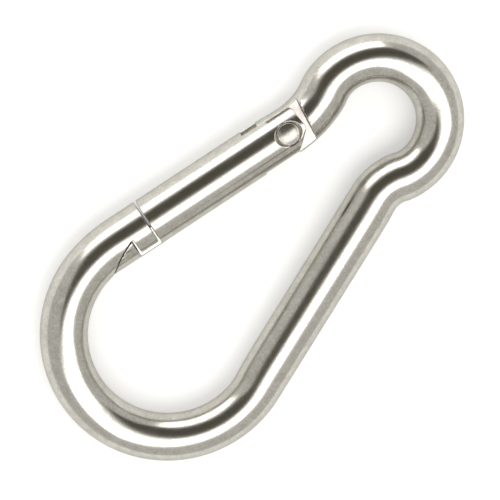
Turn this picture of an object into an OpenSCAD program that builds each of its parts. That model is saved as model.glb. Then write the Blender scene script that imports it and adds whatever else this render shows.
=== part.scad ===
// Spring snap hook: a pear-shaped body bent from one round bar, and a sprung gate
// that opens inward on a rivet. It lies flat with +Z up and its load line along Y.
// The small eye is at +Y, the large bow at -Y, the gate on the -X side.
// The origin is under the middle of the hook, on the surface that it lies on.

/* [Bar] */
// Diameter of the finished round bar
bar_d = 7.8; // [7.6:0.1:8]
// Overall length, from the top of the eye to the bottom of the bow
overall_l = 80; // [79:0.5:82]

/* [Bow and eye] */
// Inside diameter of the large bow
bow_inner_d = 24.6; // [24:0.2:25.4]
// Inside diameter of the small eye
eye_inner_d = 11.4; // [11:0.2:12]
// Lean of the gate from the load line, in degrees
gate_lean = 12.5; // [12:0.25:13]
// Lean of the spine from the load line, in degrees
spine_lean = 12.75; // [12.25:0.25:13.25]
// Centreline radius of the bend between the spine and the eye
neck_bend_r = 8.5; // [8:0.25:9.5]
// Centreline radius of the bend between the tongue and the eye
hinge_bend_r = 18; // [17:0.5:20]
// Centreline radius of the bend between the nose and the bow
nose_bend_r = 22; // [20:0.5:24]
// How much farther the gate's axis stands from the bow's centre than the bow's bar does
gate_stand_off = 0.25; // [0.2:0.05:0.4]

/* [Hinge] */
// Width of the slot between the gate's cheeks
slot_w = 3.6; // [3.5:0.1:3.8]
// Clearance between the tongue and each cheek
cheek_gap = 0.1; // [0.05:0.05:0.15]
// Distance from the rivet to the slot's floor
slot_reach = 6.1; // [5.9:0.1:6.5]
// Distance from the rivet to the tongue's end
tongue_reach = 3.4; // [3.2:0.1:3.5]
// How far the cam end's centre lies inward of the rivet
cam_offset = 1.6; // [1.4:0.1:1.7]
// Distance from the gate's axis to the flat that relieves the tongue's inner side
relief_reach = 3.45; // [3.4:0.05:3.6]
// Distance from the rivet to the step where the bar becomes round again
step_reach = 3.65; // [3.6:0.05:4]
// Slant of that step, in degrees
step_slant = 5.5; // [0:0.5:6]
// Diameter of the rivet's shank
rivet_d = 2.8; // [2.6:0.1:3]
// Radial running clearance of the rivet in the tongue
rivet_play = 0.05; // [0.02:0.01:0.08]
// Diameter of the rivet's domed heads
head_d = 3.4; // [3.3:0.1:3.5]
// Diameter of the dish around each rivet head, at the bar's crest
dish_d = 4.5; // [4.3:0.1:4.6]
// Depth of the dish below the bar's crest
dish_depth = 0.6; // [0.5:0.05:0.7]

/* [Gate and nose] */
// Distance from the rivet to the gate's butt face
gate_reach = 25.4; // [25:0.1:25.8]
// Gap between the butt faces of the gate and the nose
butt_gap = 0.35; // [0.34:0.01:0.45]
// Thickness of the blade that joins the gate to its T-head
blade_t = 2.2; // [2:0.1:2.4]
// How far the top of the blade and the T-head lies inward of the gate's axis
blade_top = 0.65; // [0.6:0.05:0.8]
// Distance from the rivet to the T-head's front face
head_front = 29.3; // [29.2:0.1:29.6]
// Distance from the rivet to the T-head's tip
head_tip = 34.4; // [34:0.1:34.8]
// Radius of the T-head's crowned back face
head_back_r = 16.4; // [15:0.2:18]
// Distance from the rivet to the back of the nose's lips
lip_back = 28.9; // [28.8:0.05:28.95]
// How far the lips reach inward of the gate's axis
lip_reach = 3.1; // [3:0.05:3.2]
// Clearance over the top and the back of the T-head
seat_gap = 0.12; // [0.1:0.01:0.15]
// Clearance between the blade and each lip
blade_gap = 0.2; // [0.15:0.05:0.3]

/* [Spring and plunger] */
// Diameter of the bore in the gate
bore_d = 3.5; // [3.4:0.05:3.6]
// Depth of the bore below the slot's floor
bore_depth = 12.4; // [12:0.1:13]
// Diameter of the plunger
plunger_d = 3.3; // [3.2:0.05:3.35]
// Length of the plunger without its spring peg
plunger_l = 5.5; // [5:0.1:6]
// Diameter of the peg that centres the spring
peg_d = 1.6; // [1.4:0.1:1.8]
// Length of the spring peg
peg_l = 2; // [1.5:0.1:2.5]
// Wire diameter of the spring
wire_d = 0.5; // [0.4:0.05:0.55]
// Outer diameter of the spring
spring_d = 3; // [2.9:0.05:3.1]
// Number of turns between the spring's closed ends
spring_turns = 6; // [5:1:7]

/* [Hidden] */
$fn = 96;
bar_r = bar_d / 2;
past = 1;                 // how far a cutter runs past the face it opens
contact_gap = 0.03;       // plunger face to tongue at rest
seam_w = 0.6;             // width of the ring that joins two stretches of bar
seam_h = 0.03;            // height of that ring above the bar
seam_inset = seam_w / 4;  // how far each stretch stops short inside the ring

// Centreline radii, and the centres of the bow and the eye
bow_r = bow_inner_d / 2 + bar_r;
eye_r = eye_inner_d / 2 + bar_r;
gate_axis_r = bow_r + gate_stand_off;

// Unit vectors: up the gate and away from it, up the spine and away from it
gate_up = [sin(gate_lean), cos(gate_lean)];
gate_out = [-cos(gate_lean), sin(gate_lean)];
spine_up = [-sin(spine_lean), cos(spine_lean)];
spine_out = [cos(spine_lean), sin(spine_lean)];

// The nose arc touches the gate's axis and, from within, the bow's circle
nose_rise = sqrt(pow(nose_bend_r - bow_r, 2) - pow(nose_bend_r - gate_axis_r, 2));
nose_from_bow = gate_up * nose_rise - gate_out * (nose_bend_r - gate_axis_r);
left_of_bow = nose_bend_r - nose_from_bow[0];
bow_c = [(left_of_bow - bow_r) / 2, bow_r + bar_r - overall_l / 2];
eye_c = [bow_c[0], overall_l / 2 - bar_r - eye_r];
nose_c = bow_c + nose_from_bow;

// Centre of an arc of radius r on the outer side of a line (through p, along up)
// that also touches the eye's circle from outside, below the eye
function blend_centre(p, up, out, r) =
    let (w = (p - eye_c) * out + r)
    eye_c + out * w - up * sqrt(pow(eye_r + r, 2) - w * w);
hinge_c = blend_centre(bow_c + gate_out * gate_axis_r, gate_up, gate_out, hinge_bend_r);
neck_c = blend_centre(bow_c + spine_out * bow_r, spine_up, spine_out, neck_bend_r);

function bearing(v) = atan2(v[1], v[0]);
hinge_turn = bearing(eye_c - hinge_c);
neck_turn = bearing(eye_c - neck_c);
nose_turn = bearing(bow_c - nose_c) + 360;

// The rivet stands where the straight tongue starts to bend into the eye
rivet_c = hinge_c - gate_out * hinge_bend_r;
nose_straight_end = (rivet_c - nose_c) * gate_up;
tongue_t = slot_w - 2 * cheek_gap;

// Corners of the cheeks' outer flat and of their ends, in the gate's frame
flat_start = [[-bar_r, -2.1], [-3.1, -1.9]];
cheek_heel = [-3.1, 2.5];
cheek_toe = [0.65, 2.9];
cheek_cut = [bar_r, -0.4];

// Centre of the circle through the top corner and the tip of the T-head
head_top = [blade_top, -head_front];
head_end = [bar_r, -head_tip];
head_chord = head_end - head_top;
head_side = [-head_chord[1], head_chord[0]] / norm(head_chord);
head_c = (head_top + head_end) / 2
    + head_side * sqrt(head_back_r * head_back_r - head_chord * head_chord / 4);

plunger_y = -tongue_reach - contact_gap;
spring_top = plunger_y - plunger_l;
spring_bottom = -slot_reach - bore_depth;

// Places its children in the gate's frame: rivet at the origin, nose towards -Y,
// the inside of the hook towards +X
module in_gate_frame() {
    translate([rivet_c[0], rivet_c[1], 0]) rotate([0, 0, -gate_lean]) children();
}

// Straight round bar between two points of the hook's plane, less the insets
module bar_run(a, b) {
    translate([a[0], a[1], bar_r]) rotate([0, 0, bearing(b - a)]) rotate([0, 90, 0])
        translate([0, 0, seam_inset]) cylinder(d = bar_d, h = norm(b - a) - 2 * seam_inset);
}

// Round bar bent about c, with its centreline at radius r, between two bearings,
// less the insets
module bar_bend(c, r, from, to) {
    inset = seam_inset / r * 180 / PI;
    translate([c[0], c[1], bar_r]) rotate([0, 0, from + inset])
        rotate_extrude(angle = to - from - 2 * inset) translate([r, 0]) circle(d = bar_d);
}

// Disc that bridges two stretches of bar where they meet, at p, square to dir. Its
// rim stands a hair proud of the bar
module seam(p, dir) {
    translate([p[0], p[1], bar_r]) rotate([0, 0, dir]) rotate([0, 90, 0])
        cylinder(r = bar_r + seam_h, h = seam_w, center = true);
}

function on_circle(c, r, at) = c + r * [cos(at), sin(at)];

// Rod of diameter d along the gate's axis, between two places on that axis
module gate_rod(d, from, to) {
    translate([0, from, bar_r]) rotate([-90, 0, 0]) cylinder(d = d, h = to - from);
}

// Block in the gate's frame, given by its x and y spans, of height h about the bar's axis
module slab(x0, x1, y0, y1, h) {
    translate([x0, y0, bar_r - h / 2]) cube([x1 - x0, y1 - y0, h]);
}

// The body's tongue before its faces are milled: its end is a cam about a centre
// inward of the rivet, so the plunger is pushed back as the gate opens, and its inner
// side is relieved
module tongue_blank() {
    intersection() {
        gate_rod(bar_d, -tongue_reach, -seam_inset);
        slab(-bar_d, relief_reach, -tongue_reach, past, bar_d);
        union() {
            slab(-bar_d, cam_offset, -tongue_reach, past, bar_d);
            translate([cam_offset, 0, 0]) cylinder(r = tongue_reach, h = bar_d);
        }
    }
}

// What is milled off one face of the tongue, up to the slanted step
module face_cutter() {
    cut_w = bar_d + 2 * past;
    cut_l = tongue_reach + step_reach + 2 * past;
    translate([0, step_reach, 0]) rotate([0, 0, -step_slant])
        translate([-cut_w / 2, -cut_l, 0]) cube([cut_w, cut_l, bar_r]);
}

// Outline of the T-head grown by g at its back, in front of which it ends at y
module head_outline(g, y) {
    intersection() {
        translate(head_c) circle(r = head_back_r + g);
        translate([blade_top - g, -head_tip - past]) square([bar_d, head_tip + past + y]);
    }
}

// The space in the nose that the blade and the T-head swing into
module nose_pocket() {
    roof = blade_top - seat_gap;
    lip_front = gate_reach + butt_gap;
    translate([0, 0, -past]) linear_extrude(bar_d + 2 * past) head_outline(seat_gap, -lip_back);
    slab(roof, bar_d, -lip_back - past, -lip_front + past, blade_t + 2 * blade_gap);
    slab(lip_reach, bar_d, -lip_back - past, -lip_front + past, bar_d + 2 * past);
}

module hook_body() {
    color([0.72, 0.71, 0.68]) difference() {
        union() {
            in_gate_frame() tongue_blank();
            bar_bend(hinge_c, hinge_bend_r, -gate_lean, hinge_turn);
            bar_bend(eye_c, eye_r, neck_turn - 180, hinge_turn + 180);
            bar_bend(neck_c, neck_bend_r, neck_turn, 180 + spine_lean);
            bar_run(bow_c + spine_out * bow_r, neck_c - spine_out * neck_bend_r);
            bar_bend(bow_c, bow_r, nose_turn, 360 + spine_lean);
            bar_bend(nose_c, nose_bend_r, 180 - gate_lean, nose_turn);
            in_gate_frame()
                gate_rod(bar_d, seam_inset - nose_straight_end, -gate_reach - butt_gap);
            seam(rivet_c, 90 - gate_lean);
            seam(on_circle(eye_c, eye_r, hinge_turn + 180), hinge_turn + 90);
            seam(on_circle(eye_c, eye_r, neck_turn - 180), neck_turn + 90);
            seam(neck_c - spine_out * neck_bend_r, 90 + spine_lean);
            seam(bow_c + spine_out * bow_r, 90 + spine_lean);
            seam(on_circle(bow_c, bow_r, nose_turn), nose_turn + 90);
            seam(nose_c + gate_out * nose_bend_r, 90 - gate_lean);
        }
        in_gate_frame() {
            translate([0, 0, bar_r + tongue_t / 2]) face_cutter();
            translate([0, 0, -tongue_t / 2]) face_cutter();
            cylinder(d = rivet_d + 2 * rivet_play, h = bar_d);
            nose_pocket();
        }
    }
}

// Side outline of the gate's bar, with its cheeks cut back for clearance
module gate_outline() {
    polygon(concat([[-bar_r, -gate_reach]], flat_start,
        [cheek_heel, cheek_toe, cheek_cut, [bar_r, -gate_reach]]));
}

// Dish around a rivet head, opening upward from its floor at z = 0
module rivet_dish() {
    cylinder(d1 = head_d, d2 = dish_d, h = dish_depth);
    translate([0, 0, dish_depth]) cylinder(d = dish_d, h = past);
}

module gate() {
    color([0.78, 0.77, 0.73]) in_gate_frame() difference() {
        intersection() {
            gate_rod(bar_d, -head_tip - past, cheek_toe[1] + past);
            union() {
                linear_extrude(bar_d) gate_outline();
                slab(blade_top, bar_r, -head_front - past / 2, -gate_reach + past / 2, blade_t);
                linear_extrude(bar_d) head_outline(0, -head_front);
            }
        }
        slab(-bar_d, bar_d, -slot_reach, cheek_toe[1] + past, slot_w);
        gate_rod(bore_d, -slot_reach - bore_depth, -slot_reach + past);
        cylinder(d = rivet_d, h = bar_d);
        translate([0, 0, bar_d - dish_depth]) rivet_dish();
        translate([0, 0, dish_depth]) mirror([0, 0, 1]) rivet_dish();
    }
}

// Rivet with a domed head in each dish
module hinge_rivet() {
    dome_h = dish_depth - 0.05;
    dome_r = (pow(head_d / 2, 2) + dome_h * dome_h) / (2 * dome_h);
    grip = bar_d - 2 * dish_depth;
    color([0.6, 0.59, 0.56]) in_gate_frame() translate([0, 0, bar_r]) {
        cylinder(d = rivet_d, h = grip, center = true);
        for (side = [0, 1]) mirror([0, 0, side]) translate([0, 0, grip / 2]) intersection() {
            translate([0, 0, dome_h - dome_r]) sphere(r = dome_r);
            cylinder(d = head_d, h = dome_h);
        }
    }
}

// Flat-faced plunger that the spring pushes against the tongue's cam end
module plunger() {
    color([0.55, 0.55, 0.55]) in_gate_frame() {
        gate_rod(plunger_d, plunger_y - plunger_l, plunger_y);
        gate_rod(peg_d, spring_top - peg_l, spring_top);
    }
}

// Compression spring with closed ends: a round wire carried along a helix
// whose pitch is one wire diameter in the first and the last turn
module closing_spring() {
    sides = 8;
    steps = 20;
    turns = spring_turns + 2;
    coil_r = (spring_d - wire_d) / 2;
    free_l = spring_top - spring_bottom - wire_d;
    open_pitch = (free_l - 2 * wire_d) / spring_turns;
    function climb(t) = t < 1 ? wire_d * t
        : t < turns - 1 ? wire_d + open_pitch * (t - 1)
        : free_l - wire_d * (turns - t);
    rings = turns * steps;
    points = [for (i = [0 : rings], j = [0 : sides - 1])
        let (a = 360 * i / steps, b = 360 * j / sides, r = coil_r + wire_d / 2 * cos(b))
        [r * cos(a), spring_bottom + wire_d / 2 + climb(i / steps) + wire_d / 2 * sin(b),
            -r * sin(a)]];
    walls = [for (i = [0 : rings - 1], j = [0 : sides - 1])
        let (k = (j + 1) % sides, a = i * sides, b = a + sides)
        [a + j, b + j, b + k, a + k]];
    caps = [[for (j = [0 : sides - 1]) j], [for (j = [sides - 1 : -1 : 0]) rings * sides + j]];
    color([0.5, 0.52, 0.55]) in_gate_frame() translate([0, 0, bar_r])
        polyhedron(points, concat(walls, caps), convexity = 20);
}

hook_body();
gate();
hinge_rivet();
plunger();
closing_spring();
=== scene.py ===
"""Looks of a stainless spring snap hook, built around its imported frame."""

import logging
from collections.abc import Sequence
from dataclasses import dataclass, field
from enum import Enum

import bmesh
import bpy
import numpy as np
from mathutils import Matrix, Vector


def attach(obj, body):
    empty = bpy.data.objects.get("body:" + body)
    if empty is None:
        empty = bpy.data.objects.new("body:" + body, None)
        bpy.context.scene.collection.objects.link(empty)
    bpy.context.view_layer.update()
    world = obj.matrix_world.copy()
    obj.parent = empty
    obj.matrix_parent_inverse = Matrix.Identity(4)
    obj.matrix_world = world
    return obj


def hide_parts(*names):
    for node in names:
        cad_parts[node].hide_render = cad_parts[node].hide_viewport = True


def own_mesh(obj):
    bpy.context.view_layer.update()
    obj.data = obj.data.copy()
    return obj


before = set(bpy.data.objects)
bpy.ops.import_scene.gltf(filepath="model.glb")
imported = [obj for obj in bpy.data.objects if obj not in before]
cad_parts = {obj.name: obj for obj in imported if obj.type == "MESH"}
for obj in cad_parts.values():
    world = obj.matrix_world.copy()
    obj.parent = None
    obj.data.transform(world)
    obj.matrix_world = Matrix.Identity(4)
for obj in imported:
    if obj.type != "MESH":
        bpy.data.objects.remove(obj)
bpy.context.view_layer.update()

MM = 0.001
MICRON = 1e-6
LOG = logging.getLogger("snap_hook")

Array = np.ndarray


class Body(Enum):
    """Bodies of the frame that pieces ride on."""

    HOOK = "hook"
    GATE = "gate"
    PLUNGER = "plunger"


class Slot(Enum):
    """Material slots of the record."""

    BAR = "satin_stainless"
    RIVET = "rivet_steel"
    PLUNGER = "plunger_steel"
    WIRE = "spring_wire"


def turn(degrees: float) -> Array:
    """Unit vector in the hook's plane at a bearing from +X.

    Args:
        degrees: Bearing, counterclockwise.

    Returns:
        Array of x and y.
    """
    angle = np.radians(degrees)
    return np.array([np.cos(angle), np.sin(angle)])


def bearing(vector: Array) -> float:
    """Bearing of a vector of the hook's plane.

    Args:
        vector: Array of x and y.

    Returns:
        Degrees from +X, counterclockwise.
    """
    return float(np.degrees(np.arctan2(vector[1], vector[0])))


# ---------------------------------------------------------------- mesh tools


def mesh_object(name: str, points: Array,
                faces: Sequence[Sequence[int]] | Array) -> bpy.types.Object:
    """Makes a mesh object from points in millimetres of the hook's frame.

    Args:
        name: Name of the piece.
        points: Array of shape (n, 3).
        faces: Corner numbers of each face.

    Returns:
        The object, linked to the scene, at the origin, smooth, faces outward.
    """
    mesh = bpy.data.meshes.new(name)
    rows = faces.tolist() if isinstance(faces, np.ndarray) else list(faces)
    mesh.from_pydata((np.asarray(points) * MM).tolist(), [], rows)
    mesh.validate()
    obj = bpy.data.objects.new(name, mesh)
    bpy.context.scene.collection.objects.link(obj)
    tidy_mesh(obj, weld=1e-4)
    return obj


def tidy_mesh(obj: bpy.types.Object, weld: float) -> None:
    """Merges doubles, dissolves slivers and turns the faces outward.

    Args:
        obj: Mesh object to tidy.
        weld: Distance in millimetres under which points are merged.
    """
    made = bmesh.new()
    made.from_mesh(obj.data)
    bmesh.ops.remove_doubles(made, verts=made.verts, dist=weld * MM)
    bmesh.ops.dissolve_degenerate(made, edges=made.edges, dist=weld * MM)
    bmesh.ops.recalc_face_normals(made, faces=made.faces)
    for face in made.faces:
        face.smooth = True
    made.to_mesh(obj.data)
    made.free()


def grid_faces(rows: int, columns: int) -> Array:
    """Quads of a grid that is open along its rows and closed around its columns.

    Args:
        rows: Number of rings.
        columns: Points in each ring, numbered ring by ring.

    Returns:
        Array of shape ((rows - 1) * columns, 4).
    """
    i, j = np.meshgrid(np.arange(rows - 1), np.arange(columns), indexing="ij")
    k = (j + 1) % columns
    near, far = i * columns, (i + 1) * columns
    return np.stack([near + j, far + j, far + k, near + k], -1).reshape(-1, 4)


def tube(name: str, rings: Array) -> bpy.types.Object:
    """Closed skin over a stack of rings, with a flat cap at each end.

    Args:
        name: Name of the piece.
        rings: Array of shape (rows, columns, 3), in millimetres.

    Returns:
        The mesh object.
    """
    rows, columns = rings.shape[:2]
    last = (rows - 1) * columns
    caps = [list(range(columns))[::-1], list(range(last, last + columns))]
    return mesh_object(name, rings.reshape(-1, 3), grid_faces(rows, columns).tolist() + caps)


def prism(name: str, outline: Array, low: float, high: float) -> bpy.types.Object:
    """Outline in the hook's plane carried from one height to another.

    Args:
        name: Name of the piece.
        outline: Array of shape (n, 2), in millimetres.
        low: Height of its bottom.
        high: Height of its top.

    Returns:
        The mesh object.
    """
    heights = np.array([low, high])
    rings = np.empty((2, len(outline), 3))
    rings[..., :2] = outline
    rings[..., 2] = heights[:, None]
    return tube(name, rings)


def lathe(name: str, profile: Array, centre: Array, axis: Array,
          around: int = 96) -> bpy.types.Object:
    """Profile of radius r and height h turned about an axis.

    Point (i, j) = centre + axis h_i + r_i (side cos a_j + up sin a_j), where side and
    up are square to the axis. A profile that starts and ends at r = 0 closes itself.

    Args:
        name: Name of the piece.
        profile: Rows of r and h, in millimetres.
        centre: Point that h is counted from.
        axis: Unit vector that h runs along.
        around: Points in each ring.

    Returns:
        The mesh object.
    """
    axis = np.asarray(axis, float)
    side = np.cross(axis, [0.0, 0.0, 1.0] if abs(axis[2]) < 0.9 else [1.0, 0.0, 0.0])
    side /= np.linalg.norm(side)
    up = np.cross(axis, side)
    angle = np.linspace(0, 2 * np.pi, around, endpoint=False)
    spoke = np.cos(angle)[:, None] * side + np.sin(angle)[:, None] * up
    profile = np.asarray(profile, float)
    rings = centre + profile[:, 1, None, None] * axis + profile[:, 0, None, None] * spoke
    return tube(name, rings)


def filleted(corners: Array, radii: Sequence[float], steps: int = 10) -> Array:
    """Outline whose corners are replaced with arcs.

    Each arc touches both sides at r tan((180 - corner angle) / 2) from the corner,
    and its points lie at radius r about the centre on the corner's bisector.

    Args:
        corners: Array of shape (n, 2).
        radii: Radius at each corner, or 0 to leave it sharp.
        steps: Points in each arc.

    Returns:
        Array of the outline's points.
    """
    pieces = []
    count = len(corners)
    for i, radius in enumerate(radii):
        here = np.asarray(corners[i], float)
        back = np.asarray(corners[i - 1], float) - here
        on = np.asarray(corners[(i + 1) % count], float) - here
        if radius <= 0:
            pieces.append(here[None])
            continue
        back /= np.linalg.norm(back)
        on /= np.linalg.norm(on)
        half = np.arccos(np.clip(back @ on, -1, 1)) / 2
        middle = (back + on) / np.linalg.norm(back + on)
        centre = here + middle * radius / np.sin(half)
        first = here + back * radius / np.tan(half) - centre
        last = here + on * radius / np.tan(half) - centre
        sweep = np.arctan2(first[0] * last[1] - first[1] * last[0], first @ last)
        angle = np.linspace(0, sweep, steps)[:, None]
        across = np.array([-first[1], first[0]])
        pieces.append(centre + first * np.cos(angle) + across * np.sin(angle))
    return np.concatenate(pieces)


# How far a cutter runs past the metal, in millimetres
PAST = 1.0
# Share of a face's normal that points up or down, above which it counts as level
LEVEL = 0.9


class Cut(Enum):
    """What a boolean does with its tool."""

    TAKE = "DIFFERENCE"
    ADD = "UNION"
    KEEP = "INTERSECT"


def carve(obj: bpy.types.Object, tools: Sequence[bpy.types.Object],
          cut: Cut = Cut.TAKE) -> None:
    """Applies exact booleans to a piece, and removes the tools.

    Args:
        obj: Piece that is cut.
        tools: Closed meshes, used one after another.
        cut: What each does.
    """
    for tool in tools:
        step = obj.modifiers.new("cut", "BOOLEAN")
        step.operation, step.solver, step.object = cut.value, "EXACT", tool
        bake(obj)
        bpy.data.objects.remove(tool)


def bake(obj: bpy.types.Object) -> None:
    """Replaces a piece's mesh with the result of its modifiers.

    Args:
        obj: Piece with live modifiers.
    """
    view = bpy.context.evaluated_depsgraph_get()
    mesh = bpy.data.meshes.new_from_object(obj.evaluated_get(view))
    obj.modifiers.clear()
    obj.data = mesh


# Width of the round left on every sharp edge by tumbling, in millimetres
EDGE_ROUND = 0.12
# Angles in degrees above which an edge is rounded, and then shaded as sharp
ROUNDED_FROM = 34.0
SHARP_FROM = 40.0


def set_sharp(obj: bpy.types.Object, degrees: float = SHARP_FROM) -> None:
    """Shades a piece's edges as sharp above an angle.

    Args:
        obj: Piece to shade.
        degrees: The angle.
    """
    obj.data.set_sharp_from_angle(angle=np.radians(degrees))


def ease_edges(obj: bpy.types.Object, width: float = EDGE_ROUND) -> None:
    """Rounds a piece's sharp edges and smooths its shading.

    Args:
        obj: Piece to finish.
        width: Width of the round, in millimetres.
    """
    tidy_mesh(obj, weld=0.012)
    step = obj.modifiers.new("eased", "BEVEL")
    step.width, step.segments, step.limit_method = width * MM, 3, "ANGLE"
    step.angle_limit = np.radians(ROUNDED_FROM)
    step.use_clamp_overlap = False
    step.harden_normals = False
    step.miter_outer = "MITER_ARC"
    bake(obj)
    tidy_mesh(obj, weld=0.001)
    set_sharp(obj)
    level = obj.modifiers.new("level", "WEIGHTED_NORMAL")
    level.mode, level.weight, level.keep_sharp = "FACE_AREA", 50, True
    bake(obj)


# ---------------------------------------------------------------- finishes


def linear(hex_colour: str) -> tuple[float, float, float, float]:
    """Linear colour from sRGB hex: c / 12.92 under 0.04045, else ((c + 0.055) / 1.055)^2.4.

    Args:
        hex_colour: Six hex digits.

    Returns:
        Red, green, blue and alpha.
    """
    shares = np.array([int(hex_colour[i:i + 2], 16) for i in (0, 2, 4)]) / 255
    light = np.where(shares < 0.04045, shares / 12.92, ((shares + 0.055) / 1.055) ** 2.4)
    return (*light.tolist(), 1.0)


def node(tree: bpy.types.NodeTree, kind: str, links: dict | None = None,
         **settings: object) -> bpy.types.Node:
    """Adds a node, sets it and links it.

    Args:
        tree: Node tree that it joins.
        kind: Blender's name of the node type.
        links: Input name or number to an output socket, or to a value.
        settings: Attributes of the node.

    Returns:
        The node.
    """
    made = tree.nodes.new(kind)
    for name, value in settings.items():
        setattr(made, name, value)
    for key, source in (links or {}).items():
        if isinstance(source, bpy.types.NodeSocket):
            tree.links.new(source, made.inputs[key])
        else:
            made.inputs[key].default_value = source
    return made


# What the sum of two noises, each about 0.5, spans in practice
NOISE_SPAN = (0.7, 1.3)


@dataclass(frozen=True)
class Steel:
    """Stainless steel with a worked surface.

    Two noises on Object coordinates move its colour and roughness: a blotch of a
    millimetre or two, which electropolishing leaves on drawn bar, and a grain
    finer than that, which also lifts the surface as bump.
    """

    name: str
    light: str
    dark: str
    roughness: float
    roughness_spread: float
    grain_mm: float = 0.35
    blotch_mm: float = 2.0
    stretch: tuple[float, float, float] = (1.0, 1.0, 1.0)
    turn_deg: float = 0.0
    bump_um: float = 1.2
    rim: tuple[float, float, float, float] = (0.72, 0.71, 0.69, 1.0)

    def material(self) -> bpy.types.Material:
        """Builds the node tree.

        Returns:
            The material.
        """
        made = bpy.data.materials.new(self.name)
        made.use_nodes = True
        tree = made.node_tree
        tree.nodes.clear()
        place = node(tree, "ShaderNodeTexCoord")
        turned = node(tree, "ShaderNodeMapping", {"Vector": place.outputs["Object"],
                                                  "Rotation": (0.0, 0.0, float(np.radians(self.turn_deg)))})
        lay = node(tree, "ShaderNodeMapping", {"Vector": turned.outputs["Vector"], "Scale": self.stretch})
        grain = node(tree, "ShaderNodeTexNoise", {"Vector": lay.outputs["Vector"],
                                                  "Scale": 1 / (self.grain_mm * MM),
                                                  "Detail": 3.0, "Roughness": 0.55})
        blotch = node(tree, "ShaderNodeTexNoise", {"Vector": place.outputs["Object"],
                                                   "Scale": 1 / (self.blotch_mm * MM),
                                                   "Detail": 4.0, "Roughness": 0.6})
        both = node(tree, "ShaderNodeMath", {0: grain.outputs["Fac"], 1: blotch.outputs["Fac"]},
                    operation="ADD")
        low, high = NOISE_SPAN
        share = node(tree, "ShaderNodeMapRange", {"Value": both.outputs[0], "From Min": low,
                                                  "From Max": high})
        colour = node(tree, "ShaderNodeMix", {"Factor": share.outputs["Result"], 6: linear(self.dark),
                                              7: linear(self.light)}, data_type="RGBA")
        rough = node(tree, "ShaderNodeMapRange", {"Value": both.outputs[0], "From Min": low,
                                                  "From Max": high,
                                                  "To Min": self.roughness + self.roughness_spread,
                                                  "To Max": self.roughness - self.roughness_spread})
        bump = node(tree, "ShaderNodeBump", {"Height": grain.outputs["Fac"], "Strength": 1.0,
                                             "Distance": self.bump_um * MICRON})
        shader = node(tree, "ShaderNodeBsdfPrincipled", {"Base Color": colour.outputs[2],
                                                         "Roughness": rough.outputs["Result"],
                                                         "Normal": bump.outputs["Normal"], "Metallic": 1.0,
                                                         "Specular Tint": self.rim})
        node(tree, "ShaderNodeOutputMaterial", {"Surface": shader.outputs["BSDF"]})
        return made


# Drawn bar, bent, tumbled and electropolished: soft-edged reflections, a warm grey
ELECTROPOLISHED = Steel("electropolished_stainless_bar", "cbc8c0", "aeaba3", roughness=0.2,
                        roughness_spread=0.05, bump_um=2.0)
# Milled before polishing: faint tool marks across the tongue, a little duller
MILLED = Steel("milled_stainless_flat", "d3ccc8", "b9b1ac", roughness=0.3, roughness_spread=0.06,
               grain_mm=0.5, stretch=(1.0, 5.0, 1.0), turn_deg=12.5, bump_um=3.0)
# Inside a milled slot or a drilled bore: unpolished, so rough; its near-black colour is painted shade that
# stands in for the shadow deep in the slot and bore
PAINTED_SHADE_BORE_STEEL = Steel("bore_stainless_painted_shade", "211f1c", "151412", roughness=0.6, roughness_spread=0.08,
                bump_um=4.0)
# Rivet head peened over by a spinning tool, then tumbled
PEENED = Steel("peened_stainless_rivet", "c2beb6", "96928a", roughness=0.26, roughness_spread=0.07,
               bump_um=2.5)
# Plunger turned on a lathe, oiled
TURNED = Steel("turned_steel_plunger", "a09d98", "75726d", roughness=0.3, roughness_spread=0.06,
               stretch=(1.0, 4.0, 1.0), turn_deg=12.5)
# Cold drawn spring wire, darker than the bar
DRAWN_WIRE = Steel("drawn_stainless_wire", "8f8d8a", "63615f", roughness=0.32, roughness_spread=0.05,
                   grain_mm=0.2)


@dataclass(frozen=True)
class Sheet:
    """Matt sheet with a faint fibre: backlit white paper, or a flag's cloth."""

    name: str = "backlit_white_paper"
    light: str = "e2e2e1"
    dark: str = "dcdcdb"
    fibre_mm: float = 0.8
    glow: float = 0.3

    def material(self) -> bpy.types.Material:
        """Builds the node tree.

        Returns:
            The material.
        """
        made = bpy.data.materials.new(self.name)
        made.use_nodes = True
        tree = made.node_tree
        tree.nodes.clear()
        place = node(tree, "ShaderNodeTexCoord")
        fibre = node(tree, "ShaderNodeTexNoise", {"Vector": place.outputs["Object"],
                                                  "Scale": 1 / (self.fibre_mm * MM), "Detail": 4.0})
        colour = node(tree, "ShaderNodeMix", {"Factor": fibre.outputs["Fac"], 6: linear(self.dark),
                                              7: linear(self.light)}, data_type="RGBA")
        shader = node(tree, "ShaderNodeBsdfPrincipled", {"Base Color": colour.outputs[2], "Roughness": 0.9,
                                                         "Emission Color": linear("ffffff"),
                                                         "Emission Strength": self.glow})
        node(tree, "ShaderNodeOutputMaterial", {"Surface": shader.outputs["BSDF"]})
        return made


# ---------------------------------------------------------------- the hook's plan


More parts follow.
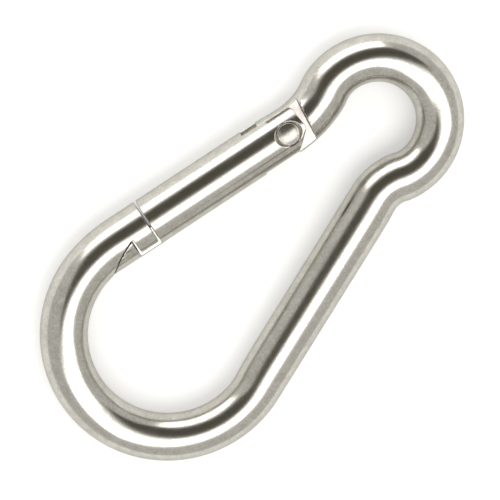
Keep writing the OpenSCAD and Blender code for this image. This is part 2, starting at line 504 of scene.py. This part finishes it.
@dataclass(frozen=True)
class Plan:
    """Centreline of the hook's bar in its own plane, in millimetres and degrees."""

    bar_d: float = 7.8
    overall_l: float = 80.0
    bow_inner_d: float = 24.6
    eye_inner_d: float = 11.4
    gate_lean: float = 12.5
    spine_lean: float = 12.75
    neck_bend_r: float = 8.5
    hinge_bend_r: float = 18.0
    nose_bend_r: float = 22.0
    gate_stand_off: float = 0.25

    @property
    def bar_r(self) -> float:
        """Radius of the bar, and the height of its axis."""
        return self.bar_d / 2

    @property
    def bow_r(self) -> float:
        """Centreline radius of the bow."""
        return self.bow_inner_d / 2 + self.bar_r

    @property
    def eye_r(self) -> float:
        """Centreline radius of the eye."""
        return self.eye_inner_d / 2 + self.bar_r

    @property
    def gate_up(self) -> Array:
        """Unit vector up the gate."""
        return turn(90 - self.gate_lean)

    @property
    def gate_in(self) -> Array:
        """Unit vector from the gate toward the inside of the hook."""
        return turn(-self.gate_lean)

    @property
    def spine_up(self) -> Array:
        """Unit vector up the spine."""
        return turn(90 + self.spine_lean)

    @property
    def spine_out(self) -> Array:
        """Unit vector from the spine away from the hook."""
        return turn(self.spine_lean)

    @property
    def nose_from_bow(self) -> Array:
        """Centre of the nose bend from the bow's: its circle holds the bow's and touches the gate's axis."""
        away = self.nose_bend_r - self.bow_r - self.gate_stand_off
        rise = np.sqrt((self.nose_bend_r - self.bow_r) ** 2 - away ** 2)
        return self.gate_up * rise + self.gate_in * away

    @property
    def bow_c(self) -> Array:
        """Centre of the bow."""
        left = self.nose_bend_r - self.nose_from_bow[0]
        return np.array([(left - self.bow_r) / 2, self.bow_r + self.bar_r - self.overall_l / 2])

    @property
    def eye_c(self) -> Array:
        """Centre of the eye."""
        return np.array([self.bow_c[0], self.overall_l / 2 - self.bar_r - self.eye_r])

    @property
    def nose_c(self) -> Array:
        """Centre of the bend between the bow and the nose."""
        return self.bow_c + self.nose_from_bow

    def blend_centre(self, point: Array, up: Array, out: Array, radius: float) -> Array:
        """Centre of an arc beside a line that also touches the eye's circle from outside.

        Args:
            point: A point of the line.
            up: Unit vector along the line.
            out: Unit vector toward the arc's centre.
            radius: Radius of the arc.

        Returns:
            The centre, below the eye.
        """
        across = (point - self.eye_c) @ out + radius
        return self.eye_c + out * across - up * np.sqrt((self.eye_r + radius) ** 2 - across ** 2)

    @property
    def hinge_c(self) -> Array:
        """Centre of the bend between the tongue and the eye."""
        start = self.bow_c - self.gate_in * (self.bow_r + self.gate_stand_off)
        return self.blend_centre(start, self.gate_up, -self.gate_in, self.hinge_bend_r)

    @property
    def neck_c(self) -> Array:
        """Centre of the bend between the spine and the eye."""
        start = self.bow_c + self.spine_out * self.bow_r
        return self.blend_centre(start, self.spine_up, self.spine_out, self.neck_bend_r)

    @property
    def rivet_c(self) -> Array:
        """Centre of the rivet, where the straight tongue starts to bend into the eye."""
        return self.hinge_c + self.gate_in * self.hinge_bend_r

    def in_gate(self, points: Array) -> Array:
        """Points given inward of and up from the rivet, in the hook's plane.

        Args:
            points: Array whose last axis holds the distance inward and the distance up.

        Returns:
            Array of x and y, of the same shape.
        """
        points = np.asarray(points, float)
        return self.rivet_c + points[..., :1] * self.gate_in + points[..., 1:2] * self.gate_up

    def on_gate_axis(self, up: float, inward: float = 0.0) -> Array:
        """Point at the bar's mid height.

        Args:
            up: Distance up the gate from the rivet.
            inward: Distance inward of the gate's axis.

        Returns:
            Array of x, y and z.
        """
        return np.append(self.in_gate(np.array([inward, up])), self.bar_r)


@dataclass
class Route:
    """Centreline put together from runs and bends, sampled about evenly."""

    pitch: float
    points: list[Array] = field(default_factory=list)
    sides: list[Array] = field(default_factory=list)
    bent: list[Array] = field(default_factory=list)

    def run(self, start: Array, end: Array) -> None:
        """Adds a straight run.

        Args:
            start: Its first point.
            end: Its last point.
        """
        length = np.linalg.norm(end - start)
        along = (end - start) / length
        share = np.linspace(0, 1, max(2, int(length / self.pitch) + 1))[:-1, None]
        self.points.append(start + share * (end - start))
        self.sides.append(np.broadcast_to([-along[1], along[0]], (len(share), 2)))
        self.bent.append(np.zeros(len(share)))

    def bend(self, centre: Array, radius: float, start: float, end: float) -> None:
        """Adds a bend: centre + radius (cos a, sin a) as the bearing a goes from start to end.

        Args:
            centre: Its centre.
            radius: Its radius.
            start: First bearing, in degrees.
            end: Last bearing, in degrees.
        """
        way = np.sign(end - start)
        count = max(3, int(abs(np.radians(end - start)) * radius / self.pitch) + 1)
        angle = np.radians(np.linspace(start, end, count))[:-1, None]
        spoke = np.concatenate([np.cos(angle), np.sin(angle)], 1)
        self.points.append(centre + radius * spoke)
        self.sides.append(-way * spoke)
        self.bent.append(np.full(len(angle), way))

    def rings(self, radius: float, height: float, thinning: float, settle: float, around: int) -> Array:
        """Carries the bar's round section along the route.

        Point (i, j) = p_i + side_i (c_i + w_i cos a_j) + (height + radius sin a_j) up.
        In a bend the inner side is drawn out, so w_i = radius (1 - thinning b_i) and the
        section's middle moves out by as much, c_i = -radius thinning b_i toward the
        bend's centre. b_i is the bend's sign or 0, spread along the route by a bell
        curve, so that the bar thins gradually.

        Args:
            radius: Radius of the bar.
            height: Height of its axis.
            thinning: Share by which the bar's half width shrinks in a bend.
            settle: Half length over which it settles, in millimetres.
            around: Points in each ring.

        Returns:
            Array of shape (rings, around, 3).
        """
        points, sides = np.concatenate(self.points), np.concatenate(self.sides)
        bent = np.concatenate(self.bent)
        length = np.append(0, np.cumsum(np.linalg.norm(np.diff(points, axis=0), axis=1)))
        bell = np.exp(-0.5 * ((length[:, None] - length) / settle) ** 2)
        bent = bell @ bent / bell.sum(1)
        angle = np.linspace(0, 2 * np.pi, around, endpoint=False)
        width = radius * (1 - thinning * np.abs(bent))
        across = -radius * thinning * bent[:, None] + width[:, None] * np.cos(angle)
        rings = np.empty((len(points), around, 3))
        rings[..., :2] = points[:, None] + sides[:, None] * across[..., None]
        rings[..., 2] = height + radius * np.sin(angle)
        return rings


# ---------------------------------------------------------------- the pieces


def dress(piece: bpy.types.Object, body: Body, slot: Slot, node_name: str,
          *finishes: Steel) -> bpy.types.Object:
    """Gives a piece its finishes, its body and the node it stands for.

    Args:
        piece: The mesh object.
        body: Body that it rides on.
        slot: Not used.
        node_name: CAD node that it replaces.
        finishes: Its finishes, in the order of its material slots.

    Returns:
        The piece.
    """
    piece.data.materials.clear()
    for finish in finishes:
        piece.data.materials.append(bpy.data.materials.get(finish.name) or finish.material())
    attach(piece, body.value)
    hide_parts(node_name)
    LOG.info("%s: %d faces, rides on %s", piece.name, len(piece.data.polygons), body.value)
    return piece


def paint(piece: bpy.types.Object, slot: int, chosen: Array) -> None:
    """Gives the chosen faces another of the piece's materials.

    Args:
        piece: The mesh object.
        slot: Number of the material.
        chosen: One truth value for each face.
    """
    index = np.zeros(len(piece.data.polygons), int)
    piece.data.polygons.foreach_get("material_index", index)
    index[chosen] = slot
    piece.data.polygons.foreach_set("material_index", index)


def face_places(piece: bpy.types.Object, plan: Plan) -> tuple[Array, Array, Array, Array]:
    """Middles and normals of a piece's faces in the gate's frame, in millimetres.

    Args:
        piece: The mesh object.
        plan: The hook's plan.

    Returns:
        Distance inward, distance up, height above the bar's axis, and normals.
    """
    count = len(piece.data.polygons)
    middle, normal = np.empty(count * 3), np.empty(count * 3)
    piece.data.polygons.foreach_get("center", middle)
    piece.data.polygons.foreach_get("normal", normal)
    middle, normal = middle.reshape(-1, 3) / MM, normal.reshape(-1, 3)
    flat = middle[:, :2] - plan.rivet_c
    return flat @ plan.gate_in, flat @ plan.gate_up, middle[:, 2] - plan.bar_r, normal


@dataclass
class Latch:
    """Where the gate meets the nose: sizes shared by both, from the rivet."""

    gate_reach: float = 25.4
    butt_gap: float = 0.35
    blade_t: float = 2.2
    blade_top: float = 0.65
    head_front: float = 29.3
    head_tip: float = 34.4
    head_back_r: float = 16.4
    lip_back: float = 28.9
    lip_reach: float = 3.1
    seat_gap: float = 0.12
    blade_gap: float = 0.2

    def head(self, plan: Plan, grow: float, front: float, steps: int = 48) -> Array:
        """Outline of the T-head: its back is an arc through its top corner and its tip.

        Args:
            plan: The hook's plan.
            grow: How far its back and its top are moved out.
            front: Distance from the rivet to its front face.
            steps: Points in the arc.

        Returns:
            Outline in the hook's plane.
        """
        top = np.array([self.blade_top, -self.head_front])
        tip = np.array([plan.bar_r, -self.head_tip])
        chord = tip - top
        side = np.array([-chord[1], chord[0]]) / np.linalg.norm(chord)
        centre = (top + tip) / 2 + side * np.sqrt(self.head_back_r ** 2 - chord @ chord / 4)
        radius = self.head_back_r + grow
        roof = self.blade_top - grow
        inner = plan.bar_r + 1.5 * PAST
        inward = np.linspace(roof, inner, steps)
        back = centre[1] - np.sqrt(radius ** 2 - (inward - centre[0]) ** 2)
        arc = np.stack([inward, back], 1)
        return plan.in_gate(np.concatenate([[[inner, -front], [roof, -front]], arc]))


@dataclass
class HookBody:
    """Bar bent to a pear, with a milled tongue at the hinge and a pocketed nose."""

    plan: Plan
    latch: Latch
    slot_w: float = 3.6
    cheek_gap: float = 0.1
    tongue_reach: float = 3.4
    cam_offset: float = 1.6
    relief_reach: float = 3.45
    step_reach: float = 3.65
    step_slant: float = 5.5
    hole_d: float = 2.9
    pitch: float = 0.5
    around: int = 112
    thinning: float = 0.04
    settle: float = 2.2
    end_slack: float = 0.2
    flat_slack: float = 0.05

    def route(self) -> Route:
        """Centreline from the tongue's end round the eye, down the spine and round the bow.

        Returns:
            The sampled route.
        """
        plan, route = self.plan, Route(self.pitch)
        hinge_turn = bearing(plan.eye_c - plan.hinge_c)
        neck_turn = bearing(plan.eye_c - plan.neck_c)
        nose_turn = bearing(plan.bow_c - plan.nose_c) % 360
        nose_end = plan.in_gate(np.array([0, -self.latch.gate_reach - self.latch.butt_gap]))
        route.run(plan.in_gate(np.array([0, -self.tongue_reach])), plan.rivet_c)
        route.bend(plan.hinge_c, plan.hinge_bend_r, -plan.gate_lean, hinge_turn)
        route.bend(plan.eye_c, plan.eye_r, hinge_turn + 180, neck_turn - 180)
        route.bend(plan.neck_c, plan.neck_bend_r, neck_turn, 180 + plan.spine_lean)
        route.run(plan.neck_c - plan.spine_out * plan.neck_bend_r, plan.bow_c + plan.spine_out * plan.bow_r)
        route.bend(plan.bow_c, plan.bow_r, 360 + plan.spine_lean, nose_turn)
        route.bend(plan.nose_c, plan.nose_bend_r, nose_turn, 180 - plan.gate_lean)
        route.run(plan.nose_c - plan.gate_in * plan.nose_bend_r, nose_end)
        along = plan.gate_up
        route.points.append(nose_end[None])
        route.sides.append(np.array([[-along[1], along[0]]]))
        route.bent.append(np.zeros(1))
        return route

    def tongue_tools(self) -> list[bpy.types.Object]:
        """Cutters for the tongue's two flats, its cam end and the rivet's hole.

        Returns:
            The closed cutter meshes.
        """
        plan = self.plan
        wide, deep = plan.bar_r + PAST, -self.tongue_reach - PAST
        slope = np.tan(np.radians(self.step_slant))
        step = [[wide, self.step_reach - wide * slope], [-wide, self.step_reach + wide * slope]]
        flat = plan.in_gate(np.array([[-wide, deep], [wide, deep], *step]))
        half = self.slot_w / 2 - self.cheek_gap
        meet = np.arccos((self.relief_reach - self.cam_offset) / self.tongue_reach)
        angle = np.linspace(-np.pi / 2, -meet, 24)
        cam = np.stack([self.cam_offset + self.tongue_reach * np.cos(angle),
                        self.tongue_reach * np.sin(angle)], 1)
        relief = [[self.relief_reach, 0], [wide, 0], [wide, deep], [self.cam_offset, deep]]
        end = plan.in_gate(np.concatenate([cam, relief]))
        turning = np.linspace(0, 2 * np.pi, 64, endpoint=False)
        hole = plan.rivet_c + self.hole_d / 2 * np.stack([np.cos(turning), np.sin(turning)], 1)
        return [prism("flat_top", flat, plan.bar_r + half, plan.bar_d + PAST),
                prism("flat_bottom", flat, -PAST, plan.bar_r - half),
                prism("cam_end", end, -PAST, plan.bar_d + PAST),
                prism("rivet_hole", hole, -PAST, plan.bar_d + PAST)]

    def nose_tools(self) -> list[bpy.types.Object]:
        """Cutters for the T-head's pocket, the blade's slot and the shortened lips.

        Returns:
            The closed cutter meshes.
        """
        plan, latch = self.plan, self.latch
        roof, inner = latch.blade_top - latch.seat_gap, plan.bar_r + PAST
        front, back = -latch.gate_reach - latch.butt_gap + PAST, -latch.lip_back - PAST
        half = latch.blade_t / 2 + latch.blade_gap
        slot = plan.in_gate(np.array([[roof, back], [inner, back], [inner, front], [roof, front]]))
        lips = plan.in_gate(np.array([[latch.lip_reach, back], [inner, back], [inner, front],
                                      [latch.lip_reach, front]]))
        pocket = latch.head(plan, latch.seat_gap, latch.lip_back)
        return [prism("head_pocket", pocket, -PAST, plan.bar_d + PAST),
                prism("blade_slot", slot, plan.bar_r - half, plan.bar_r + half),
                prism("lip_shave", lips, -PAST, plan.bar_d + PAST)]

    def build(self) -> bpy.types.Object:
        """Builds and dresses the body.

        Returns:
            The piece.
        """
        plan = self.plan
        rings = self.route().rings(plan.bar_r, plan.bar_r, self.thinning, self.settle, self.around)
        piece = tube("bent_bar_body", rings)
        carve(piece, self.tongue_tools() + self.nose_tools())
        ease_edges(piece)
        dress(piece, Body.HOOK, Slot.BAR, "hook_body", ELECTROPOLISHED, MILLED)
        inward, up, height, normal = face_places(piece, plan)
        half = self.slot_w / 2 - self.cheek_gap
        on_tongue = ((up < self.step_reach + PAST) & (up > -self.tongue_reach - self.end_slack)
                     & (np.abs(inward) < plan.bar_r + PAST) & (np.abs(height) < half + self.flat_slack))
        paint(piece, 1, on_tongue & (np.abs(normal[:, 2]) > LEVEL))
        return piece


@dataclass
class Gate:
    """Round bar that swings on the rivet: slotted and bored there, with a blade and a T-head."""

    plan: Plan
    latch: Latch
    slot_w: float = 3.6
    slot_reach: float = 6.1
    bore_d: float = 3.5
    bore_depth: float = 12.4
    drill_point: float = 1.2
    rivet_d: float = 2.8
    head_d: float = 3.4
    dish_d: float = 4.5
    dish_depth: float = 0.6
    cheek_reach: float = 3.1
    flat_start: tuple[float, float] = (-2.18, -1.9)
    heel: float = 2.5
    toe: tuple[float, float] = (0.65, 2.9)
    cut: tuple[float, float] = (2.55, 0.98)
    cut_end: float = -0.9
    corner_radii: tuple[float, ...] = (0, 0, 0, 0.5, 0.9, 2.5, 0, 0)
    slot_slack: tuple[float, float] = (0.05, 0.04)
    bore_slack: float = 0.06
    around: int = 160

    def outline(self) -> Array:
        """Side outline of the round stretch, with the cheeks' ends cut back and rounded.

        Returns:
            Outline in the hook's plane.
        """
        wide, low, flat = self.plan.bar_r + PAST / 2, -self.latch.gate_reach, -self.cheek_reach
        outer, inner = self.flat_start
        corners = np.array([[-wide, low], [-wide, outer], [flat, inner], [flat, self.heel], self.toe,
                            self.cut, [wide, self.cut_end], [wide, low]])
        return self.plan.in_gate(filleted(corners, self.corner_radii))

    def build(self) -> bpy.types.Object:
        """Builds and dresses the gate.

        Returns:
            The piece.
        """
        plan, latch = self.plan, self.latch
        low, high = -latch.head_tip - PAST, 4.0
        bar = np.array([[plan.bar_r, low], [plan.bar_r, high]])
        axis = np.append(plan.gate_up, 0)
        piece = lathe("gate_bar", bar, plan.on_gate_axis(0), axis, self.around)
        keep = prism("gate_stretch", self.outline(), -PAST, plan.bar_d + PAST)
        front, back = -latch.gate_reach + PAST / 2, -latch.head_front - PAST / 2
        wide = plan.bar_r + PAST / 2
        blade = plan.in_gate(np.array([[latch.blade_top, back], [wide, back], [wide, front],
                                       [latch.blade_top, front]]))
        half = latch.blade_t / 2
        carve(keep, [prism("blade", blade, plan.bar_r - half, plan.bar_r + half),
                     prism("t_head", latch.head(plan, 0, latch.head_front), -PAST, plan.bar_d + PAST)],
              Cut.ADD)
        carve(piece, [keep], Cut.KEEP)
        carve(piece, self.hinge_tools())
        ease_edges(piece)
        dress(piece, Body.GATE, Slot.BAR, "gate", ELECTROPOLISHED, PAINTED_SHADE_BORE_STEEL)
        inward, up, height, _ = face_places(piece, plan)
        end_slack, side_slack = self.slot_slack
        in_slot = (up > -self.slot_reach - end_slack) & (np.abs(height) < self.slot_w / 2 + side_slack)
        past_drill = -self.slot_reach - self.bore_depth - self.drill_point - PAST / 2
        in_bore = ((up < -self.slot_reach) & (up > past_drill)
                   & (np.hypot(inward, height) < self.bore_d / 2 + self.bore_slack))
        # Slot and bore faces take the near-black steel: painted shade of the deep slot and bore
        paint(piece, 1, in_slot | in_bore)
        return piece

    def hinge_tools(self) -> list[bpy.types.Object]:
        """Cutters for the slot, the bore with its drill point, the rivet's hole and the two dishes.

        Returns:
            The closed cutter meshes.
        """
        plan = self.plan
        wide, top = plan.bar_r + PAST, 5.0
        slot = plan.in_gate(np.array([[-wide, -self.slot_reach], [wide, -self.slot_reach], [wide, top],
                                      [-wide, top]]))
        half = self.slot_w / 2
        floor = -self.slot_reach - self.bore_depth
        bore_r = self.bore_d / 2
        mouth = -self.slot_reach + PAST / 2
        bore = [[0, floor - self.drill_point], [bore_r, floor], [bore_r, mouth], [0, mouth]]
        up, down = np.array([0, 0, 1.0]), np.array([0, 0, -1.0])
        middle = plan.on_gate_axis(0)
        rim, over = plan.bar_r - self.dish_depth, plan.bar_r + PAST
        dish = [[0, rim], [self.head_d / 2 + 0.1, rim], [self.dish_d / 2, plan.bar_r],
                [self.dish_d / 2, over], [0, over]]
        shank = self.rivet_d / 2
        pin = [[0, -over], [shank, -over], [shank, over], [0, over]]
        return [prism("slot", slot, plan.bar_r - half, plan.bar_r + half),
                lathe("bore", bore, middle, np.append(plan.gate_up, 0)),
                lathe("dish_top", dish, middle, up), lathe("dish_bottom", dish, middle, down),
                lathe("pin_hole", pin, middle, up)]


@dataclass
class Rivet:
    """Hinge rivet with a low domed head peened into each dish."""

    plan: Plan
    shank_d: float = 2.8
    head_d: float = 3.4
    dish_depth: float = 0.6
    sunk: float = 0.05
    corner: float = 0.12
    fillet: float = 0.02

    def profile(self) -> Array:
        """Radius and height of half the rivet, from its middle to its crown.

        The dome is a circle's arc of height d over a chord of half width a, whose
        radius is (a^2 + d^2) / 2d, and its rim is eased by a quarter round.

        Returns:
            Rows of radius and height above the bar's axis.
        """
        base = self.plan.bar_r - self.dish_depth
        crown = self.plan.bar_r - self.sunk
        rim = base + self.corner
        chord, rise = self.head_d / 2 - self.corner, crown - rim - self.corner
        radius = (chord ** 2 + rise ** 2) / (2 * rise)
        quarter = np.linspace(0, np.pi / 2, 6)
        edge = np.stack([chord + self.corner * np.cos(quarter), rim + self.corner * np.sin(quarter)], 1)
        out = np.linspace(chord, 0, 16)[1:]
        dome = np.stack([out, crown - radius + np.sqrt(radius ** 2 - out ** 2)], 1)
        shank = self.shank_d / 2
        neck = [[shank, 0], [shank, base - self.fillet], [self.head_d / 2, base]]
        return np.concatenate([neck, edge, dome])

    def build(self) -> bpy.types.Object:
        """Builds and dresses the rivet.

        Returns:
            The piece.
        """
        upper = self.profile()
        lower = upper[:0:-1] * [1, -1]
        piece = lathe("domed_rivet", np.concatenate([lower, upper]), self.plan.on_gate_axis(0),
                      np.array([0, 0, 1.0]), 72)
        set_sharp(piece)
        return dress(piece, Body.GATE, Slot.RIVET, "hinge_rivet", PEENED)


@dataclass
class Plunger:
    """Flat plunger with a peg that centres the spring."""

    plan: Plan
    face: float = -3.43
    length: float = 5.5
    diameter: float = 3.3
    peg_d: float = 1.6
    peg_l: float = 2.0
    chamfer: float = 0.15

    def build(self) -> bpy.types.Object:
        """Builds and dresses the plunger.

        Returns:
            The piece.
        """
        wide, slim, cut = self.diameter / 2, self.peg_d / 2, self.chamfer
        back = self.face - self.length
        tip = back - self.peg_l
        profile = [[0, tip], [slim - cut, tip], [slim, tip + cut], [slim, back], [wide - cut, back],
                   [wide, back + cut], [wide, self.face - cut], [wide - cut, self.face], [0, self.face]]
        piece = lathe("turned_plunger", np.array(profile), self.plan.on_gate_axis(0),
                      np.append(self.plan.gate_up, 0), 64)
        set_sharp(piece, 30)
        return dress(piece, Body.PLUNGER, Slot.PLUNGER, "plunger", TURNED)


@dataclass
class ClosingSpring:
    """Compression spring with closed ends, between the plunger and the bore's end."""

    plan: Plan
    wire_d: float = 0.5
    spring_d: float = 3.0
    turns: int = 6
    top: float = -8.93
    bottom: float = -18.5
    steps: int = 36
    sides: int = 12
    keep: float = 0.882

    def rings(self) -> Array:
        """Wire's round section carried along a helix.

        Point (i, j) = axis h_i + r_j (cos t_i, sin t_i) with h_i climbing one wire
        diameter in the first and the last turn and evenly between them,
        r_j = coil radius + wire radius cos a_j, and wire radius sin a_j along the axis.

        Returns:
            Array of shape (rings, sides, 3), in millimetres.
        """
        plan = self.plan
        whole = self.turns + 2
        coil_r, wire_r = (self.spring_d - self.wire_d) / 2, self.wire_d / 2
        climb = self.top - self.bottom - self.wire_d
        turned = np.linspace(0, whole, whole * self.steps + 1)
        height = np.interp(turned, [0, 1, whole - 1, whole],
                           [0, self.wire_d, climb - self.wire_d, climb])
        angle = 2 * np.pi * turned[:, None]
        around = np.linspace(0, 2 * np.pi, self.sides, endpoint=False)
        radius = coil_r + wire_r * np.cos(around)
        along = self.bottom + wire_r + height[:, None] + wire_r * np.sin(around)
        inward, lift = radius * np.cos(angle), -radius * np.sin(angle)
        rings = np.empty((*along.shape, 3))
        rings[..., :2] = plan.in_gate(np.stack([inward, along], -1))
        rings[..., 2] = plan.bar_r + lift
        return rings

    def build(self) -> bpy.types.Object:
        """Builds and dresses the spring.

        Returns:
            The piece.
        """
        piece = tube("coiled_closing_spring", self.rings())
        set_sharp(piece, 60)
        dress(piece, Body.GATE, Slot.WIRE, "closing_spring", DRAWN_WIRE)
        anchor = self.plan.on_gate_axis(self.bottom) * MM
        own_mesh(piece)
        return piece


# ---------------------------------------------------------------- the studio


@dataclass
class Studio:
    """White paper floor, black flag, two softboxes and the camera."""

    plan: Plan
    tilt_deg: float = 10.0
    distance: float = 0.5
    field_mm: float = 77.7
    aim: tuple[float, float] = (-0.09, -1.77)
    view_up: tuple[float, float] = (-0.7022, 0.7120)
    floor_m: float = 1.6
    flag_height: float = 0.75
    flag_span: tuple[float, float] = (-0.36, 1.0)
    flag_angles: tuple[float, float] = (3.4, 50.0)

    def camera(self) -> None:
        """Camera above the hook, leaned toward the outer side of the gate."""
        middle = Vector((*self.aim, self.plan.bar_r)) * MM
        lean = Vector((*(-self.plan.gate_in).tolist(), 0.0))
        tilt = float(np.radians(self.tilt_deg))
        away = lean * np.sin(tilt) + Vector((0, 0, 1)) * np.cos(tilt)
        across = Vector((*self.view_up, 0.0)).cross(away).normalized()
        upright = away.cross(across).normalized()
        lens = bpy.data.cameras.new("camera")
        lens.sensor_width = 36.0
        lens.lens = lens.sensor_width * self.distance / (self.field_mm * MM)
        lens.clip_start, lens.clip_end = 0.01, 10.0
        seen = bpy.data.objects.new("camera", lens)
        place = middle + away * self.distance
        seen.matrix_world = matrix_from(across, upright, away, place)
        bpy.context.scene.collection.objects.link(seen)
        bpy.context.scene.camera = seen

    def softbox(self, name: str, bearing_deg: float, height_deg: float, size: tuple[float, float],
                power: float, reach: float = 0.6) -> None:
        """Area light that faces the hook.

        Args:
            name: Name of the light.
            bearing_deg: Bearing in the hook's plane, in degrees from +X.
            height_deg: Angle above the floor.
            size: Width across and length, in metres.
            power: Power in watts.
            reach: Distance from the hook, in metres.
        """
        rise = np.radians(height_deg)
        flat = turn(bearing_deg) * np.cos(rise)
        away = Vector((flat[0], flat[1], np.sin(rise)))
        along = Vector((0, 0, 1)).cross(away).normalized()
        lamp = bpy.data.lights.new(name, "AREA")
        lamp.shape, lamp.size, lamp.size_y, lamp.energy = "RECTANGLE", size[1], size[0], power
        made = bpy.data.objects.new(name, lamp)
        made.matrix_world = matrix_from(along, away.cross(along), away, away * reach)
        bpy.context.scene.collection.objects.link(made)

    def floor(self) -> None:
        """Flat white sheet under the hook."""
        half = self.floor_m / 2 / MM
        corners = np.array([[-half, -half, 0], [half, -half, 0], [half, half, 0], [-half, half, 0]])
        sheet = mesh_object("paper_floor", corners, [[0, 1, 2, 3]])
        if sheet.data.polygons[0].normal.z < 0:
            sheet.data.flip_normals()
        sheet.data.materials.append(Sheet().material())

    def flag(self) -> None:
        """Black cloth over the hook that only reflections see: the dark stripe along the crest."""
        out, along = -self.plan.gate_in, self.plan.gate_up
        near, far = np.tan(np.radians(self.flag_angles)) * self.flag_height
        low, high = self.flag_span
        ends = ((near, low), (far, low), (far, high), (near, high))
        corners = [out * across + along * up for across, up in ends]
        points = np.column_stack([np.array(corners), np.full(4, self.flag_height)]) / MM
        cloth = mesh_object("black_flag", points, [[0, 1, 2, 3]])
        cloth.data.materials.append(Sheet("black_flag_cloth", "59554b", "4b473f", glow=0.0).material())
        cloth.visible_camera = cloth.visible_diffuse = cloth.visible_shadow = False

    def world(self, colour: str, strength: float) -> None:
        """Dim even light from the room.

        Args:
            colour: Colour of the room.
            strength: Its brightness.
        """
        made = bpy.data.worlds.new("room")
        made.use_nodes = True
        tree = made.node_tree
        tree.nodes.clear()
        glow = node(tree, "ShaderNodeBackground", {"Color": linear(colour), "Strength": strength})
        node(tree, "ShaderNodeOutputWorld", {"Surface": glow.outputs["Background"]})
        bpy.context.scene.world = made

    def build(self) -> None:
        """Sets up floor, lights and camera."""
        self.floor()
        self.flag()
        self.world("f6f5f2", 0.8)
        self.softbox("softbox_inner", bearing_deg=-self.plan.gate_lean, height_deg=70,
                     size=(0.355, 0.9), power=2.3)
        self.softbox("softbox_outer", bearing_deg=155, height_deg=17, size=(0.34, 0.69), power=1.8)
        self.camera()
        bpy.context.scene.view_settings.view_transform = "Standard"
        LOG.info("studio ready")


def matrix_from(x_axis: Vector, y_axis: Vector, z_axis: Vector,
                place: Vector) -> Matrix:
    """Placing matrix from three axes and a point.

    Args:
        x_axis: Local X in the world.
        y_axis: Local Y in the world.
        z_axis: Local Z in the world.
        place: Origin in the world.

    Returns:
        The matrix.
    """
    made = Matrix((x_axis, y_axis, z_axis)).transposed().to_4x4()
    made.translation = place
    return made


def main() -> None:
    logging.basicConfig(level=logging.INFO, format="%(name)s: %(message)s")
    plan, latch = Plan(), Latch()
    HookBody(plan, latch).build()
    Gate(plan, latch).build()
    Rivet(plan).build()
    Plunger(plan).build()
    ClosingSpring(plan).build()
    Studio(plan).build()


if __name__ == "__main__":
    main()
